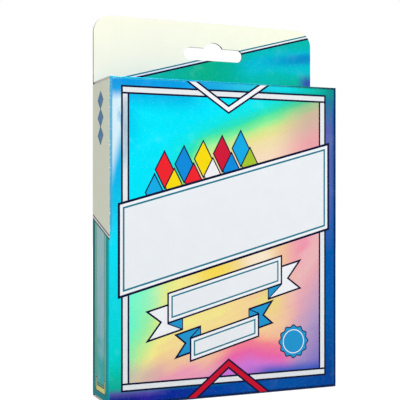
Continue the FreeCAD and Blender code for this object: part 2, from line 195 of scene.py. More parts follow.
def front_margin(tree, place, x, y, z):
    """Blue overprint outside the frame: cyan on the left, violet to blue on the right, navy below.
    It has a painted glare at the upper left, a painted shade line of duller blue along the left crease,
    and painted shade along the top crease and dark where it turns into the right and lower creases."""
    wander = calc(tree, "MULTIPLY_ADD", grain(tree, place, 14 * MM, 2), 0.08, -0.04)
    down = calc(tree, "ADD", slope(tree, z, 119 * MM, 1 * MM), wander)
    across = calc(tree, "ADD", slope(tree, x, -47 * MM, 47 * MM), wander)
    left = colour_run(
        tree, down,
        (0.0, colour(14, 154, 220)), (0.1, colour(18, 160, 226)), (0.3, colour(8, 182, 233)),
        (0.38, colour(10, 200, 236)), (0.42, colour(18, 208, 242)), (0.49, colour(6, 225, 249)),
        (0.66, colour(10, 218, 232)), (0.85, colour(2, 214, 210)), (0.92, colour(2, 190, 166)),
        (1.0, colour(6, 150, 132)))
    right = colour_run(
        tree, down,
        (0.0, colour(14, 150, 146)), (0.04, colour(36, 122, 158)), (0.13, colour(86, 100, 175)),
        (0.36, colour(80, 100, 176)), (0.46, colour(46, 95, 172)), (0.56, colour(3, 90, 174)),
        (0.72, colour(1, 91, 172)), (0.85, colour(1, 79, 155)), (1.0, colour(3, 63, 146)))
    head = colour_run(
        tree, across,
        (0.05, colour(8, 148, 220)), (0.35, colour(4, 156, 226)), (0.55, colour(40, 192, 224)),
        (0.75, colour(8, 218, 230)), (0.88, colour(8, 194, 176)), (0.97, colour(12, 146, 142)))
    foot = colour_run(
        tree, across,
        (0.0, colour(14, 44, 134)), (0.08, colour(16, 32, 136)), (0.14, colour(42, 32, 152)),
        (0.22, colour(12, 40, 150)), (0.35, colour(2, 54, 152)), (0.6, colour(3, 76, 162)),
        (0.8, colour(3, 80, 160)), (1.0, colour(4, 66, 146)))
    lilac = both(tree, ease(tree, z, 2 * MM, 4.6 * MM, 0.0, 0.7), ease(tree, x, -22 * MM, -32 * MM))
    foot = mix_colours(tree, lilac, foot, colour(98, 88, 170))
    side = mix_colours(tree, ease(tree, x, -6 * MM, 6 * MM), left, right)
    margin = mix_colours(tree, ease(tree, z, 115.5 * MM, 117.5 * MM), side, head)
    margin = mix_colours(tree, ease(tree, z, 6.8 * MM, 3.8 * MM), margin, foot)
    # Painted glare: a streaky white highlight on the foil at the upper left of the margin.
    glare_streaks = grain(tree, stretched(tree, place, 1.0, 1.0, 3.0), 3.4 * MM, 4)
    painted_glare = ease(tree, calc(tree, "MULTIPLY_ADD", x, -4.0, z), 262 * MM, 278 * MM)
    painted_glare = both(tree, painted_glare, ease(tree, z, 115.5 * MM, 110.5 * MM, 0.01, 1.0))
    painted_glare = both(tree, painted_glare, ease(tree, glare_streaks, 0.26, 0.46, 0.25, 0.95))
    painted_glare = both(tree, painted_glare, ease(tree, x, -42 * MM, -43 * MM))
    margin = mix_colours(tree, painted_glare, margin, colour(212, 236, 244))
    # Painted shade: a duller blue line beside the left crease, above the middle of the panel.
    left_crease_shade = both(tree, ease(tree, x, -46.1 * MM, -46.4 * MM), ease(tree, z, 56 * MM, 70 * MM, 0.0, 0.9))
    margin = mix_colours(tree, left_crease_shade, margin, colour(76, 166, 204))
    # Painted shade along the top crease, on the panel and the lid: a bluer band that darkens towards the
    # right corner.
    rim = colour_run(
        tree, across,
        (0.1, colour(30, 186, 224)), (0.4, colour(14, 172, 224)), (0.65, colour(16, 184, 204)),
        (0.85, colour(8, 122, 126)), (1.0, colour(3, 48, 64)))
    margin = mix_colours(tree, from_crease(tree, y, z, LID_TOP, 0.5 * MM, 1.1 * MM), margin, rim)
    # Painted shade: darker blue beside the right crease near the top.
    right_crease_shade = both(tree, ease(tree, x, 44.9 * MM, 46.4 * MM, 0.0, 0.8), ease(tree, z, 116 * MM, 108 * MM))
    margin = mix_colours(tree, right_crease_shade, margin, colour(14, 88, 164))
    # Painted shade: dark navy where the foil turns into the right and lower creases.
    edge = ease(tree, x, 46.0 * MM, 46.7 * MM)
    edge = calc(tree, "MAXIMUM", edge, from_crease(tree, y, z, 0.0, 0.7 * MM, 1.3 * MM))
    return mix_colours(tree, edge, margin, colour(1, 34, 84))


def front_cracks_and_highlight(tree, x, y, z):
    """The foil is whitened at the top left corner, faintly along the top crease, and down the upper half
    of the left one: partly cracked foil, partly a painted highlight where the creases catch the light."""
    left = calc(tree, "ABSOLUTE", calc(tree, "ADD", x, HALF_WIDTH))
    left = both(tree, ease(tree, left, 0.3 * MM, 0.7 * MM, 1.0, 0.0), ease(tree, z, 56 * MM, 66 * MM))
    top = from_crease(tree, y, z, LID_TOP, 0.2 * MM, 1.2 * MM)
    top = both(tree, top, ease(tree, x, -40 * MM, -45 * MM, 0.12, 0.9))
    return calc(tree, "MAXIMUM", left, top)


def facing(across, outward, upward=UP):
    """The outside of one side of the carton: how far right, up and out of it a point lies."""
    return lambda right, up, out: across * right + outward * out + upward * up


SEEN_FROM_FRONT = facing(RIGHT, FORWARD)


def add_piece(name, points, faces, finishes, body):
    """A new piece of the object: faces is a list of (corner numbers, finish number)."""
    mesh = bpy.data.meshes.new(name)
    mesh.from_pydata([tuple(point) for point in points], [], [corners for corners, _ in faces])
    for finish in finishes:
        mesh.materials.append(finish)
    for polygon, (_, number) in zip(mesh.polygons, faces):
        polygon.material_index = number
    mesh.update()
    piece = bpy.data.objects.new(name, mesh)
    bpy.context.scene.collection.objects.link(piece)
    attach(piece, body)
    return piece


def upright_board(name, node, seen, half, out, finishes):
    """An upright panel from mitre to mitre of its two creases. Finish 0 is outside, 1 the bare board."""
    low, high = (corner.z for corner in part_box(node))
    rows = []
    for radius in (CREASE_RADIUS - INK_ROOM, CREASE_RADIUS - BOARD):
        row = []
        for end, first in ((-half, 90 + MITRE), (half, 90)):
            for step in range(CREASE_STEPS + 1):
                turn = math.radians(first - MITRE * step / CREASE_STEPS)
                row.append((end + radius * math.cos(turn), out - CREASE_RADIUS + radius * math.sin(turn)))
        rows.append(row)
    count = len(rows[0])
    points = [seen(right, up, outward) for up in (low, high) for row in rows for right, outward in row]
    inner, top = count, 2 * count
    faces = []
    for i in range(count - 1):
        faces.append(((i, i + 1, top + i + 1, top + i), 0))
        faces.append(((inner + i + 1, inner + i, top + inner + i, top + inner + i + 1), 1))
        faces.append(((top + i, top + i + 1, top + inner + i + 1, top + inner + i), 1))
        faces.append(((i + 1, i, inner + i, inner + i + 1), 1))
    last = count - 1
    faces.append(((inner, 0, top, top + inner), 1))
    faces.append(((last, inner + last, top + inner + last, top + last), 1))
    piece = add_piece(name, points, faces, finishes, "carton")
    piece.data.polygons.foreach_set("use_smooth", [True] * len(faces))
    piece.data.set_sharp_from_angle(angle=SHARP_EDGE)
    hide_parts(node)
    return piece


def bare_board(name, tone, shade):
    """Uncoated side of the board: short fibres, a little specked, dull."""
    finish, tree, shader, place, _ = new_finish(name)
    fibres = grain(tree, place, 0.35 * MM, 6)
    patches = grain(tree, place, 11 * MM, 3)
    worn = calc(tree, "MULTIPLY_ADD", fibres, 0.7, calc(tree, "MULTIPLY", patches, 0.3))
    wire(tree, mix_colours(tree, ease(tree, worn, 0.35, 0.68), shade, tone), shader.inputs["Base Color"])
    wire(tree, ease(tree, fibres, 0.3, 0.7, 0.72, 0.92), shader.inputs["Roughness"])
    shader.inputs["Specular IOR Level"].default_value = 0.25
    relief(tree, shader, fibres, 0.012 * MM, 0.5)
    return finish


FRONT = -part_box("front_panel")[0].y
HALF_WIDTH = -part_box("left_side_panel")[0].x
LID_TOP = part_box("top_lid")[1].z
board_inside = bare_board("board_inside", colour(226, 223, 214), colour(204, 200, 190))
foil_margin = foil("foil_blue_margin", front_margin, front_cracks_and_highlight)
upright_board("front_board", "front_panel", SEEN_FROM_FRONT, HALF_WIDTH - CREASE_RADIUS, FRONT,
              (foil_margin, board_inside))


# Printed frame: white bands between navy lines round the front, the upright ones butted against the level
# ones, and the clear rainbow foil inside them. Screen-printed inks, a few hundredths of a millimetre thick.
PLATE_RISE = 0.272
PLATE_MIDDLE = 68 * MM
STRAIGHT = 1e-9


def ink(name, tone, gloss=0.34, veil_and_reflection=None):
    """Opaque printing ink: a little uneven in tone and gloss over the grain of the board. A
    veil_and_reflection says where the ink is thin, so that a blue tinge of the foil comes through, and
    where a bluish painted reflection lies over it."""
    finish, tree, shader, place, axes = new_finish(name)
    cover = grain(tree, place, 6 * MM, 4)
    pits = grain(tree, place, 0.3 * MM, 3)
    deep = tuple(share * 0.99 for share in tone[:3]) + (1.0,)
    bright = tuple(min(share * 1.01 + 0.0005, 1.0) for share in tone[:3]) + (1.0,)
    uneven = calc(tree, "MULTIPLY_ADD", pits, 0.25, calc(tree, "MULTIPLY", cover, 0.75))
    shade = mix_colours(tree, ease(tree, uneven, 0.3, 0.7), deep, bright)
    # Thin ink and painted reflection: mixed towards a bluish grey where the veil falls.
    if veil_and_reflection:
        shade = mix_colours(tree, veil_and_reflection(tree, place, *axes), shade, colour(166, 192, 208))
    wire(tree, shade, shader.inputs["Base Color"])
    wire(tree, ease(tree, cover, 0.3, 0.7, gloss - 0.06, gloss + 0.1), shader.inputs["Roughness"])
    shader.inputs["Specular IOR Level"].default_value = 0.08
    relief(tree, shader, pits, 0.003 * MM, 0.3)
    return finish


def spot(tree, place, across, up, inner, outer, high):
    """A round glow on the front: high within inner metres of its middle, nothing beyond outer."""
    node = tree.nodes.new("ShaderNodeVectorMath")
    node.operation = "DISTANCE"
    wire(tree, place, node.inputs[0])
    node.inputs[1].default_value = (across, -FRONT, up)
    return ease(tree, node.outputs["Value"], inner, outer, high, 0.0)


def upper_rainbow(tree, x, z, streaks):
    """Foil above the title plate: blue to cyan on the left, then a rainbow that slants up to the right,
    mint, lime and sand, and at the right edge pinker, and duller with painted shade."""
    fall = calc(tree, "SUBTRACT", calc(tree, "MULTIPLY_ADD", x, 0.39, 105.5 * MM), z)
    drift = both(tree, slope(tree, fall, -5 * MM, 21 * MM), ease(tree, x, -34 * MM, -6 * MM))
    drift = calc(tree, "ADD", drift, streaks)
    clear = colour_run(
        tree, drift,
        (0.02, colour(1, 229, 250)), (0.19, colour(16, 228, 226)), (0.29, colour(40, 224, 190)),
        (0.37, colour(80, 229, 160)), (0.45, colour(138, 238, 155)), (0.54, colour(196, 236, 145)),
        (0.65, colour(234, 226, 152)), (0.78, colour(240, 224, 170)), (1.0, colour(246, 220, 192)))
    # At the right edge the rainbow is pinker, and darker as painted shade.
    shaded_right = colour_run(
        tree, drift,
        (0.02, colour(4, 210, 230)), (0.19, colour(18, 214, 204)), (0.29, colour(40, 202, 178)),
        (0.39, colour(84, 200, 150)), (0.49, colour(166, 198, 148)), (0.6, colour(204, 186, 156)),
        (0.8, colour(218, 178, 168)), (1.0, colour(236, 164, 170)))
    shine = mix_colours(tree, ease(tree, x, 16 * MM, 36 * MM), clear, shaded_right)
    corner = both(tree, ease(tree, z, 105 * MM, 114.5 * MM), ease(tree, x, -4 * MM, -20 * MM))
    flank = both(tree, ease(tree, z, 88 * MM, 102 * MM, 0.0, 0.45), ease(tree, x, -34 * MM, -40 * MM))
    return mix_colours(tree, calc(tree, "MAXIMUM", corner, flank), shine, colour(2, 178, 228))


def lower_rainbow(tree, place, x, z, streaks):
    """Foil below the title plate: mint on the left, yellow and peach in the middle, magenta over violet at
    the foot, and rose that falls to violet on the right."""
    drift = calc(tree, "ADD", slope(tree, x, -41 * MM, -28 * MM, 0.0, 0.36),
                 slope(tree, x, -28 * MM, -16 * MM, 0.0, 0.08))
    drift = calc(tree, "ADD", drift, slope(tree, x, -16 * MM, 30 * MM, 0.0, 0.16))
    fall = calc(tree, "ADD", slope(tree, z, 28 * MM, 9 * MM), slope(tree, z, 15 * MM, 8 * MM, 0.0, 0.2))
    fall = both(tree, fall, ease(tree, x, -18 * MM, 2 * MM, 0.27, 0.08))
    drift = calc(tree, "ADD", calc(tree, "ADD", drift, fall), streaks)
    shine = colour_run(
        tree, drift,
        (0.0, colour(92, 248, 218)), (0.1, colour(120, 246, 190)), (0.22, colour(158, 240, 166)),
        (0.32, colour(202, 238, 150)), (0.42, colour(244, 236, 142)), (0.52, colour(245, 213, 150)),
        (0.61, colour(240, 192, 160)), (0.7, colour(240, 162, 178)), (0.8, colour(226, 146, 192)))
    mint = both(tree, ease(tree, z, 28 * MM, 39 * MM, 0.0, 0.4), ease(tree, x, -24 * MM, -32 * MM))
    shine = mix_colours(tree, mint, shine, colour(126, 255, 226))
    dusk = both(tree, ease(tree, x, -22 * MM, -34 * MM, 0.0, 0.5), ease(tree, z, 18 * MM, 10 * MM))
    shine = mix_colours(tree, dusk, shine, colour(180, 146, 190))
    humped = calc(tree, "ABSOLUTE", calc(tree, "ADD", x, -9 * MM))
    humped = calc(tree, "MULTIPLY_ADD", humped, 0.22, z)
    glow = colour_run(
        tree, calc(tree, "ADD", slope(tree, humped, 27 * MM, 8 * MM), streaks),
        (0.06, colour(249, 197, 142)), (0.34, colour(242, 128, 147)), (0.56, colour(233, 102, 168)),
        (0.78, colour(207, 118, 212)), (1.0, colour(184, 112, 206)))
    reach = calc(tree, "MULTIPLY_ADD", z, -0.5, x)
    reach = both(tree, ease(tree, reach, -19 * MM, -5 * MM), ease(tree, humped, 28 * MM, 20 * MM))
    shine = mix_colours(tree, reach, shine, glow)
    lean = calc(tree, "MULTIPLY_ADD", x, -1.5, z)
    rose = colour_run(
        tree, calc(tree, "ADD", slope(tree, lean, 8.5 * MM, -50 * MM), streaks),
        (0.0, colour(240, 152, 174)), (0.08, colour(238, 178, 184)), (0.2, colour(236, 184, 186)),
        (0.31, colour(232, 170, 180)), (0.48, colour(206, 162, 190)), (0.62, colour(180, 154, 198)),
        (0.76, colour(160, 138, 194)), (1.0, colour(120, 112, 196)))
    shine = mix_colours(tree, ease(tree, x, 21 * MM, 32 * MM), shine, rose)
    mellow = spot(tree, place, 17.5 * MM, 35 * MM, 2 * MM, 8 * MM, 0.55)
    shine = mix_colours(tree, mellow, shine, colour(232, 222, 118))
    foot = both(tree, ease(tree, x, 6 * MM, 19 * MM), ease(tree, z, 12.4 * MM, 7.6 * MM))
    shine = mix_colours(tree, foot, shine, colour(62, 90, 191))
    pale = spot(tree, place, 13 * MM, 51.5 * MM, 2 * MM, 10 * MM, 0.85)
    shine = mix_colours(tree, pale, shine, colour(250, 236, 212))
    golden = spot(tree, place, -6 * MM, 48 * MM, 1 * MM, 13 * MM, 0.85)
    return mix_colours(tree, golden, shine, colour(247, 217, 66))


def front_rainbow(tree, place, x, y, z):
    """Clear foil inside the frame. The two drifts of colour meet under the slanted title plate."""
    streaked = grain(tree, stretched(tree, place, 7.0, 1.0, 1.0, lean=0.37), 2.6 * MM, 3)
    cloudy = grain(tree, place, 12 * MM, 2)
    streaks = calc(tree, "MULTIPLY_ADD", streaked, 0.14, calc(tree, "MULTIPLY_ADD", cloudy, 0.08, -0.11))
    above = upper_rainbow(tree, x, z, streaks)
    below = lower_rainbow(tree, place, x, z, streaks)
    plate = calc(tree, "MULTIPLY_ADD", x, PLATE_RISE, calc(tree, "SUBTRACT", PLATE_MIDDLE, z))
    return mix_colours(tree, ease(tree, plate, -8 * MM, 8 * MM), above, below)


def frame_veil_and_reflection(tree, place, x, y, z):
    """The left band of the frame is thinly inked in its upper part, and carries a painted bluish reflection
    there.
    """
    upper = both(tree, ease(tree, z, 83 * MM, 94 * MM), ease(tree, z, 114 * MM, 109 * MM))
    upper = both(tree, upper, ease(tree, x, -39 * MM, -41 * MM))
    streaked = grain(tree, stretched(tree, place, 1.0, 1.0, 6.0), 1.6 * MM, 3)
    return both(tree, upper, ease(tree, streaked, 0.3, 0.6, 0.55, 0.95))


def inset(outline, widths):
    """The outline with each side moved inwards by its own width."""
    moved = []
    count = len(outline)
    for i in range(count):
        (near_x, near_y), (far_x, far_y) = outline[i], outline[(i + 1) % count]
        length = math.hypot(far_x - near_x, far_y - near_y)
        run_x, run_y = (far_x - near_x) / length, (far_y - near_y) / length
        moved.append((near_x - run_y * widths[i], near_y + run_x * widths[i], run_x, run_y))
    corners = []
    for i in range(count):
        last_x, last_y, last_run_x, last_run_y = moved[i - 1]
        next_x, next_y, next_run_x, next_run_y = moved[i]
        turn = last_run_x * next_run_y - last_run_y * next_run_x
        if abs(turn) < STRAIGHT:
            corners.append((next_x, next_y))
            continue
        along = ((next_x - last_x) * next_run_y - (next_y - last_y) * next_run_x) / turn
        corners.append((last_x + last_run_x * along, last_y + last_run_y * along))
    return corners


def printed(name, shapes, seen, out, body="carton"):
    """Inks on one face. A shape is (outline in mm, bands, coat in mm, open sides): the bands run from
    the rim inwards as (width in mm, finish), the last one fills the middle, and open sides have no band."""
    points, faces, finishes = [], [], []
    for outline, bands, coat, open_sides in shapes:
        rims = [outline]
        for width, _ in bands[:-1]:
            widths = [0.0 if i in open_sides else width for i in range(len(outline))]
            rims.append(inset(rims[-1], widths))
        first = len(points)
        count = len(outline)
        points += [seen(right * MM, up * MM, out) for right, up in outline]
        for rim in rims:
            points += [seen(right * MM, up * MM, out + coat * MM) for right, up in rim]
        for _, finish in bands:
            if finish not in finishes:
                finishes.append(finish)
        rim_finish = finishes.index(bands[0][1])
        faces.append((tuple(first + i for i in reversed(range(count))), rim_finish))
        for ring in range(len(rims)):
            lower, upper = first + ring * count, first + (ring + 1) * count
            number = rim_finish if ring == 0 else finishes.index(bands[ring - 1][1])
            for i in range(count):
                j = (i + 1) % count
                faces.append(((lower + i, lower + j, upper + j, upper + i), number))
        last = first + len(rims) * count
        faces.append((tuple(range(last, last + count)), finishes.index(bands[-1][1])))
    return add_piece(name, points, faces, finishes, body)


def box_outline(left, low, right, high):
    return [(left, low), (right, low), (right, high), (left, high)]


INK_FLOOR = FRONT - INK_ROOM
LINE = 0.7
FRAME_LEFT = -42.95
FRAME_LOW = 4.83
FRAME_RIGHT = 42.57
FRAME_HIGH = 116.5
FRAME_BAND = 1.78
FRAME_COAT = 0.01
BUTT_COAT = 0.014
navy_ink = ink("navy_ink", colour(5, 10, 52), 0.28)
white_ink = ink("white_ink", colour(238, 240, 244))
foil_clear = foil("foil_clear_rainbow", front_rainbow)
frame_ink = ink("frame_white_ink", colour(226, 231, 234), veil_and_reflection=frame_veil_and_reflection)
frame_bands = [(LINE, navy_ink), (FRAME_BAND, frame_ink), (LINE, navy_ink), (0, foil_clear)]
frame_outline = box_outline(FRAME_LEFT, FRAME_LOW, FRAME_RIGHT, FRAME_HIGH)
frame_shapes = [(frame_outline, frame_bands, FRAME_COAT, ())]
for left in (FRAME_LEFT + LINE / 2, FRAME_RIGHT - FRAME_BAND - 1.5 * LINE):
    for low in (FRAME_LOW + FRAME_BAND + LINE, FRAME_HIGH - FRAME_BAND - 2 * LINE):
        butt = box_outline(left, low, left + FRAME_BAND + LINE, low + LINE)
        frame_shapes.append((butt, [(0, navy_ink)], BUTT_COAT, ()))
printed("front_frame", frame_shapes, SEEN_FROM_FRONT, INK_FLOOR)


# Chevrons: a white band that dips from the top crease and a red one that rises from the bottom crease,
# each with navy edges, printed over the frame at the middle of the panel.
CHEVRON_OUTER = 17.5
CHEVRON_INNER = 12.3
CHEVRON_HIGH = 119.05
CHEVRON_LOW = 0.55
CHEVRON_COAT = 0.016
red_ink = ink("red_ink", colour(200, 14, 46))
white_chevron = [(-CHEVRON_OUTER, CHEVRON_HIGH), (0, 107.4), (CHEVRON_OUTER, CHEVRON_HIGH),
                 (CHEVRON_INNER, CHEVRON_HIGH), (0, 110.85), (-CHEVRON_INNER, CHEVRON_HIGH)]
red_chevron = [(-CHEVRON_OUTER, CHEVRON_LOW), (-CHEVRON_INNER, CHEVRON_LOW), (0, 10.4),
               (CHEVRON_INNER, CHEVRON_LOW), (CHEVRON_OUTER, CHEVRON_LOW), (0, 14.4)]
printed("top_chevron", [(white_chevron, [(LINE, navy_ink), (0, white_ink)], CHEVRON_COAT, (2, 5))],
        SEEN_FROM_FRONT, INK_FLOOR)
printed("bottom_chevron", [(red_chevron, [(LINE, navy_ink), (0, red_ink)], CHEVRON_COAT, (0, 3))],
        SEEN_FROM_FRONT, INK_FLOOR)


# Lozenge row: a harlequin border in the cards' colours that stands on the title plate's upper edge.
# Whole lozenges above, half hidden ones between them, each in a flat ink with a navy edge.
PLATE_LEFT = -44.2
PLATE_TOP = 73.55
LOZENGE_HALF = 3.9
LOZENGE_TALL = 7.4
LOZENGE_LINE = LINE * 0.7
LOZENGE_COAT = 0.014
COAT_STEP = 0.001
sky_ink = ink("sky_ink", colour(16, 168, 226))
scarlet_ink = ink("scarlet_ink", colour(234, 34, 44))
blue_ink = ink("blue_ink", colour(8, 136, 216))
yellow_ink = ink("yellow_ink", colour(244, 217, 10))
crimson_ink = ink("crimson_ink", colour(204, 22, 54))
pale_ink = ink("pale_ink", colour(236, 236, 240))
green_ink = ink("green_ink", colour(162, 193, 46))
harlequin_rows = (
    (-30.0, 0.0, (sky_ink, yellow_ink, scarlet_ink, pale_ink, blue_ink, green_ink)),
    (-26.1, LOZENGE_TALL, (scarlet_ink, blue_ink, yellow_ink, crimson_ink, sky_ink)))
lozenges = []
for start, lift, inks in harlequin_rows:
    for i, finish in enumerate(inks):
        middle = start + 2 * LOZENGE_HALF * i
        up = PLATE_TOP + PLATE_RISE * (middle - PLATE_LEFT) + lift
        outline = [(middle - LOZENGE_HALF, up), (middle, up - LOZENGE_TALL), (middle + LOZENGE_HALF, up),
                   (middle, up + LOZENGE_TALL)]
        coat = LOZENGE_COAT + COAT_STEP * len(lozenges)
        lozenges.append((outline, [(LOZENGE_LINE, navy_ink), (0, finish)], coat, ()))
printed("lozenge_row", lozenges, SEEN_FROM_FRONT, INK_FLOOR)


# Title plate: a slanted pale plate across the whole front, with navy, white and teal lines round it.
# Satin ink, left bare for whatever name goes on it.
PLATE_RIGHT = 44.15
PLATE_FOOT = 38.75
PLATE_COAT = 0.04
teal_ink = ink("teal_ink", colour(24, 120, 140))
plate_ink = ink("plate_ink", colour(232, 236, 240), 0.42)
plate_bands = [(0.88, navy_ink), (1.02, white_ink), (0.68, teal_ink), (0, plate_ink)]
plate_lift = PLATE_RISE * (PLATE_RIGHT - PLATE_LEFT)
title_outline = [(PLATE_LEFT, PLATE_FOOT), (PLATE_RIGHT, PLATE_FOOT + plate_lift),
                 (PLATE_RIGHT, PLATE_TOP + plate_lift), (PLATE_LEFT, PLATE_TOP)]
printed("title_plate", [(title_outline, plate_bands, PLATE_COAT, ())], SEEN_FROM_FRONT, INK_FLOOR)


# Banners: a broad swallow-tailed banner below the plate and a short one under it, on the same slant.
# Pale bands with teal lines, blue where the ribbon turns back, navy edges.
FOLD_SHARE = 0.42
NOTCH_SHARE = 0.62
FOLD_LAP = 0.4
TAIL_COAT = 0.02
FOLD_COAT = 0.026
BAND_COAT = 0.034
ribbon_blue = ink("ribbon_blue_ink", colour(32, 148, 206))
ribbon_bands = [(0.66, navy_ink), (0.95, white_ink), (0.58, teal_ink), (0, plate_ink)]
fold_bands = [(LINE * 0.6, navy_ink), (0, ribbon_blue)]


def on_slant(middle, low, *corners):
    return [(middle + along, low + PLATE_RISE * along + up) for along, up in corners]


def banner(middle, height, half, breadth, tail, drop, tail_finish):
    """A banner's shapes: two tails behind, two turned-back corners, and the band in front."""
    shapes = []
    fold = tail * FOLD_SHARE
    edge = -breadth if drop > 0 else breadth
    lap = edge + math.copysign(FOLD_LAP, drop)
    for end in (-1, 1):
        near = end * (half - fold)
        tip = end * half
        far = end * (half + tail - fold)
        notch = end * (half + tail * NOTCH_SHARE - fold)
        swallow = [(near, -breadth - drop), (near, breadth - drop), (far, breadth - drop), (notch, -drop),
                   (far, -breadth - drop)]
        corner = [(near, edge - drop), (near, lap), (tip, lap), (tip, edge)]
        if (end > 0) == (drop > 0):
            corner = corner[::-1]
        if end > 0:
            swallow = swallow[::-1]
        tail_bands = [(LINE, navy_ink), (0, tail_finish)]
        shapes.append((on_slant(middle, height, *swallow), tail_bands, TAIL_COAT, ()))
        shapes.append((on_slant(middle, height, *corner), fold_bands, FOLD_COAT, ()))
    band = box_outline(-half, -breadth, half, breadth)
    shapes.append((on_slant(middle, height, *band), ribbon_bands, BAND_COAT, ()))
    return shapes


broad_shapes = banner(middle=-1.0, height=41.0, half=24.0, breadth=5.8, tail=15.0, drop=4.2,
                      tail_finish=white_ink)
short_shapes = banner(middle=-1.5, height=22.5, half=14.5, breadth=4.6, tail=11.0, drop=-3.2,
                      tail_finish=ribbon_blue)
printed("broad_banner", broad_shapes, SEEN_FROM_FRONT, INK_FLOOR)
printed("short_banner", short_shapes, SEEN_FROM_FRONT, INK_FLOOR)


# Rosette: a small scalloped seal in blue at the lower right of the front, bare in the middle.
# Flat ink with a navy edge and a paler ring.
LOBES = 12
LOBE_STEPS = 8
SEAL_ACROSS = 28.0
SEAL_UP = 19.2
SEAL_COAT = 0.02
RING_COAT = 0.026


def scallops(reach, depth):
    """A scalloped outline round the seal's middle. Without depth it is a plain circle."""
    outline = []
    for step in range(LOBES * LOBE_STEPS):
        turn = 2 * math.pi * step / (LOBES * LOBE_STEPS)
        out = reach + depth * math.cos(LOBES * turn)
        outline.append((SEAL_ACROSS + out * math.cos(turn), SEAL_UP + out * math.sin(turn)))
    return outline


seal = (scallops(6.3, 0.4), [(0.4, navy_ink), (0, ribbon_blue)], SEAL_COAT, ())
seal_ring = (scallops(4.7, 0.0), [(0.35, white_ink), (0, ribbon_blue)], RING_COAT, ())
printed("rosette", [seal, seal_ring], SEEN_FROM_FRONT, INK_FLOOR)


# Side panels: board printed cream above and foil below, parted by a slanting stripe of navy and white.
# They are creased to the front and back panels, and the same print is on both.
ABOVE_ALL = 200.0
TOUCHING = 1e-7
TURNED_OUT = 0.5


def side_drift_and_shade(tree, place, x, y, z):
    """Side foil: teal that darkens as painted shade towards the back crease, green beside the keylines,
    bright at the front crease. Its teal is painted darker than the front's foil, partly as painted shade.
    """
    wander = calc(tree, "MULTIPLY_ADD", grain(tree, place, 9 * MM, 3), 2 * MM, -1 * MM)
    along = calc(tree, "ADD", y, wander)
    shine = colour_run(
        tree, slope(tree, along, -10.8 * MM, 10.8 * MM),
        (0.0, colour(0, 204, 220)), (0.07, colour(0, 180, 192)), (0.14, colour(0, 152, 156)),
        (0.22, colour(24, 160, 142)), (0.5, colour(60, 150, 140)), (0.78, colour(20, 140, 128)),
        (0.85, colour(4, 124, 118)), (0.93, colour(2, 112, 116)), (1.0, colour(2, 98, 108)))
    return mix_colours(tree, ease(tree, z, 12 * MM, 2 * MM, 0.0, 0.85), shine, colour(0, 138, 148))


def band_drift(tree, place, x, y, z):
    """Bright green foil round the keyline of a side panel."""
    drift = calc(tree, "ADD", slope(tree, z, 62 * MM, 4 * MM), grain(tree, place, 7 * MM, 3))
    return colour_run(
        tree, calc(tree, "MULTIPLY", drift, 0.6),
        (0.2, colour(144, 202, 186)), (0.5, colour(132, 206, 186)), (0.9, colour(84, 188, 162)))


def pale_drift(tree, place, x, y, z):
    """Paler foil inside the keyline of a side panel."""
    drift = calc(tree, "ADD", slope(tree, z, 64 * MM, 6 * MM), grain(tree, place, 8 * MM, 3))
    return colour_run(
        tree, calc(tree, "MULTIPLY", drift, 0.6),
        (0.22, colour(168, 212, 206)), (0.5, colour(160, 206, 218)), (0.7, colour(138, 198, 210)),
        (0.88, colour(44, 184, 180)))


def split_by_stripe(piece, seen, outward, rise, height, bands, bare):
    """Cut a panel's skin along the slanting lines of its print and give each strip its ink.
    The bands run upwards as (height of its upper edge over the stripe's foot in mm, finish)."""
    skin = bmesh.new()
    skin.from_mesh(piece.data)
    piece.data.materials.clear()
    for finish in [finish for _, finish in bands] + [bare]:
        piece.data.materials.append(finish)
    bmesh.ops.remove_doubles(skin, verts=skin.verts[:], dist=TOUCHING)
    lean = (UP - seen(rise, 0, 0)).normalized()
    for top, _ in bands[:-1]:
        everything = skin.verts[:] + skin.edges[:] + skin.faces[:]
        level = UP * (height + top) * MM
        bmesh.ops.bisect_plane(skin, geom=everything, dist=TOUCHING, plane_co=level, plane_no=lean)
    for face in skin.faces:
        middle = face.calc_center_median()
        over = (middle.z - rise * middle.dot(seen(1, 0, 0))) / MM - height
        face.material_index = len(bands)
        if face.normal.dot(outward) > TURNED_OUT:
            strips = (i for i, (top, _) in enumerate(bands[:-1]) if over < top)
            face.material_index = next(strips, len(bands) - 1)
        face.smooth = True
    skin.to_mesh(piece.data)
    skin.free()
    own_normals = piece.data.attributes.get("custom_normal")
    if own_normals:
        piece.data.attributes.remove(own_normals)
    piece.data.set_sharp_from_angle(angle=SHARP_EDGE)


HALF_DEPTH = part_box("back_panel")[1].y
SIDE_RISE = -0.345
SIDE_STRIPE = 63.95
SIDE_RIM = (0.42, 0.48, 0.48, 1.0)
PANEL_HALF = 6.9
PANEL_FOOT = 4.2
PANEL_TOP = SIDE_STRIPE - 0.05
PANEL_COAT = 0.01
BRACKET_OUTER = 5.7
BRACKET_INNER = 4.3
BRACKET_LOW = 3.0
BRACKET_BAR = 5.6
BRACKET_HIGH = 8.4
BRACKET_COAT = 0.014
DIAMOND = 3.6
DIAMOND_COAT = 0.012
cream_ink = ink("cream_ink", colour(242, 246, 224), 0.46)
olive_ink = ink("olive_ink", colour(58, 88, 62), 0.3)
gold_ink = ink("gold_ink", colour(240, 232, 118), 0.3)
side_blue = ink("side_blue_ink", colour(40, 130, 186))
